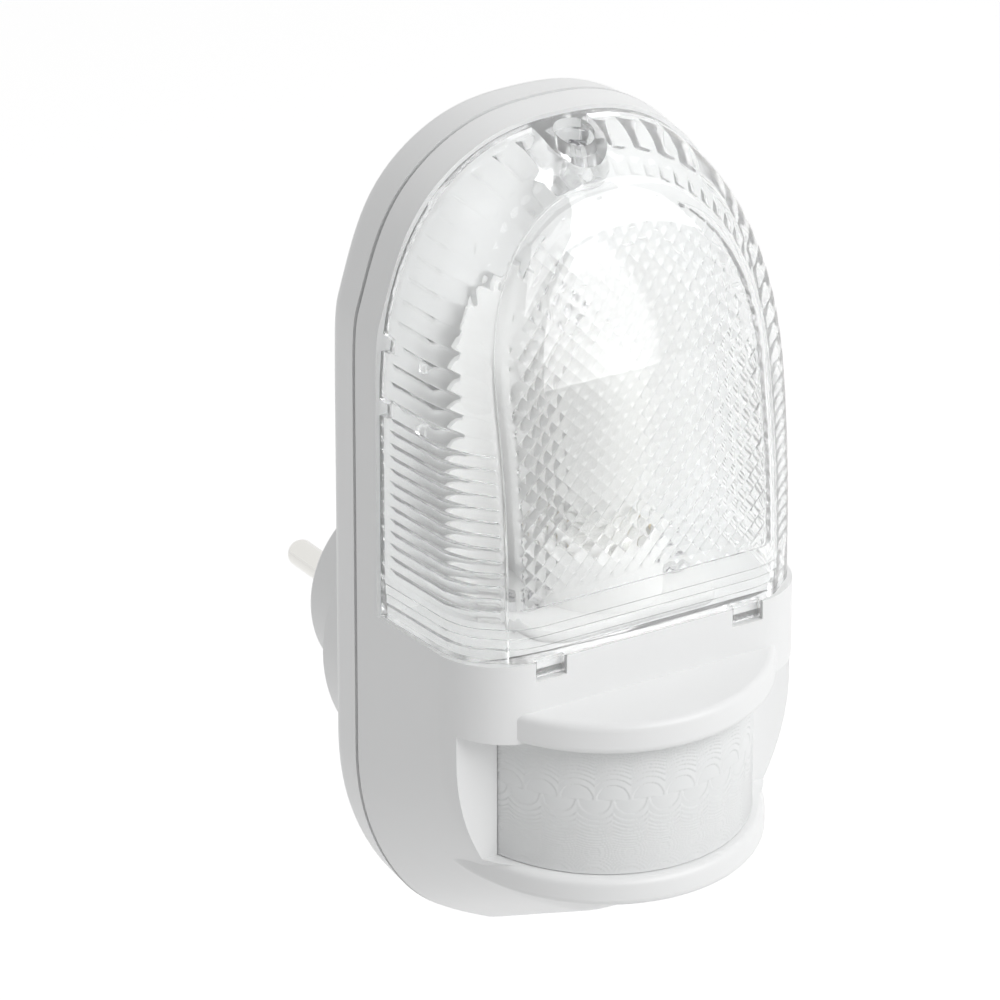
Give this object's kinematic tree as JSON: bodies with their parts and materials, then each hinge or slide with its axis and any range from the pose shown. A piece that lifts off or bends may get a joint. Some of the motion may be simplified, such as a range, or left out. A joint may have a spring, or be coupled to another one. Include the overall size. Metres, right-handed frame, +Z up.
{
  "type": "plug-in night light",
  "caption": "Plug-in night light: arched white housing on a round two-pin plug, clear ribbed lens cover over a screw-in lamp, and a motion sensor window under a hood.",
  "frame": {"origin": "centre of the plug's end face, midway between the two pins", "axes": "+Y along the pins into the wall, +Z up, +X to the right of someone facing the wall"},
  "size_m": [0.0686, 0.1079, 0.1454],
  "materials": {
    "housing_white": "fine satin moulded plastic",
    "lens_clear": "clear moulded plastic, smooth outside and prismatic inside",
    "sensor_window": "milky translucent moulded plastic",
    "inner_white": "glossy white moulded plastic",
    "nickel": "nickel-plated, polished",
    "screw_steel": "zinc-plated steel",
    "brass": "bright spring brass",
    "opal_glass": "opal white glass",
    "stem_glass": "clear glass",
    "cap_metal": "nickel-plated thin brass",
    "dark_insulator": "black vitreous insulator",
    "tungsten": "fine drawn wire",
    "board_green": "solder-masked laminate",
    "part_black": "moulded black plastic",
    "relay_grey": "moulded dark grey plastic",
    "film_yellow": "dipped yellow plastic",
    "fuse_brown": "moulded brown plastic",
    "resistor_beige": "lacquered beige body",
    "block_green": "moulded green plastic",
    "wire_brown": "extruded insulation",
    "wire_blue": "extruded insulation",
    "can_metal": "drawn steel can",
    "filter_dark": "dark infrared filter"
  },
  "bodies": {
    "housing": {"rear_housing": "housing_white", "plug_pins": "nickel", "pin_retainer": "inner_white", "retainer_screws": "screw_steel", "pin_contacts": "brass", "live_lead": "wire_brown", "neutral_lead": "wire_blue", "case_screws": "screw_steel", "main_board": "board_green", "board_screws": "screw_steel", "terminal_block": "block_green", "terminal_screws": "screw_steel", "relay": "relay_grey", "film_capacitor": "film_yellow", "electrolytic_capacitor": "part_black", "control_chip": "part_black", "resistors": "resistor_beige", "diodes": "part_black", "fuse": "fuse_brown", "board_header": "part_black", "sensor_spacers": "inner_white", "sensor_board": "board_green", "sensor_board_screws": "screw_steel", "sensor_can": "can_metal", "sensor_eye": "filter_dark", "light_cell": "resistor_beige", "fresnel_lens": "sensor_window", "fresnel_retainer": "part_black", "front_housing": "housing_white", "reflector": "inner_white", "reflector_screws": "screw_steel", "lamp_holder": "inner_white", "holder_screws": "screw_steel", "holder_sleeve": "brass", "holder_contact": "brass", "lamp_lead_live": "wire_brown", "lamp_lead_neutral": "wire_blue", "switch_body": "part_black", "switch_leads": "wire_brown"},
    "cover": {"lens_cover": "lens_clear"},
    "cover_screw": {"lens_screw": "screw_steel"},
    "bulb": {"bulb_tip": "tungsten", "bulb_insulator": "dark_insulator", "bulb_cap": "cap_metal", "bulb_glass": "opal_glass", "bulb_stem": "stem_glass", "bulb_filament": "tungsten"},
    "slider": {"mode_slider": "housing_white"}
  },
  "joints": [
    {"name": "cover_lift", "type": "slide", "parent": "housing", "child": "cover", "axis": [0, 0, 1], "range_m": [0, 0.03]},
    {"name": "cover_screw_turn", "type": "hinge", "parent": "cover", "child": "cover_screw", "pos_m": [0, -0.0528, 0.0956], "axis": [0, 0, 1], "continuous": true},
    {"name": "bulb_turn", "type": "hinge", "parent": "housing", "child": "bulb", "pos_m": [0, -0.06, 0.04], "axis": [0, 0, 1], "continuous": true},
    {"name": "mode_slide", "type": "slide", "parent": "housing", "child": "slider", "axis": [0, 0, 1], "range_m": [-0.003, 0.003]}
  ]
}
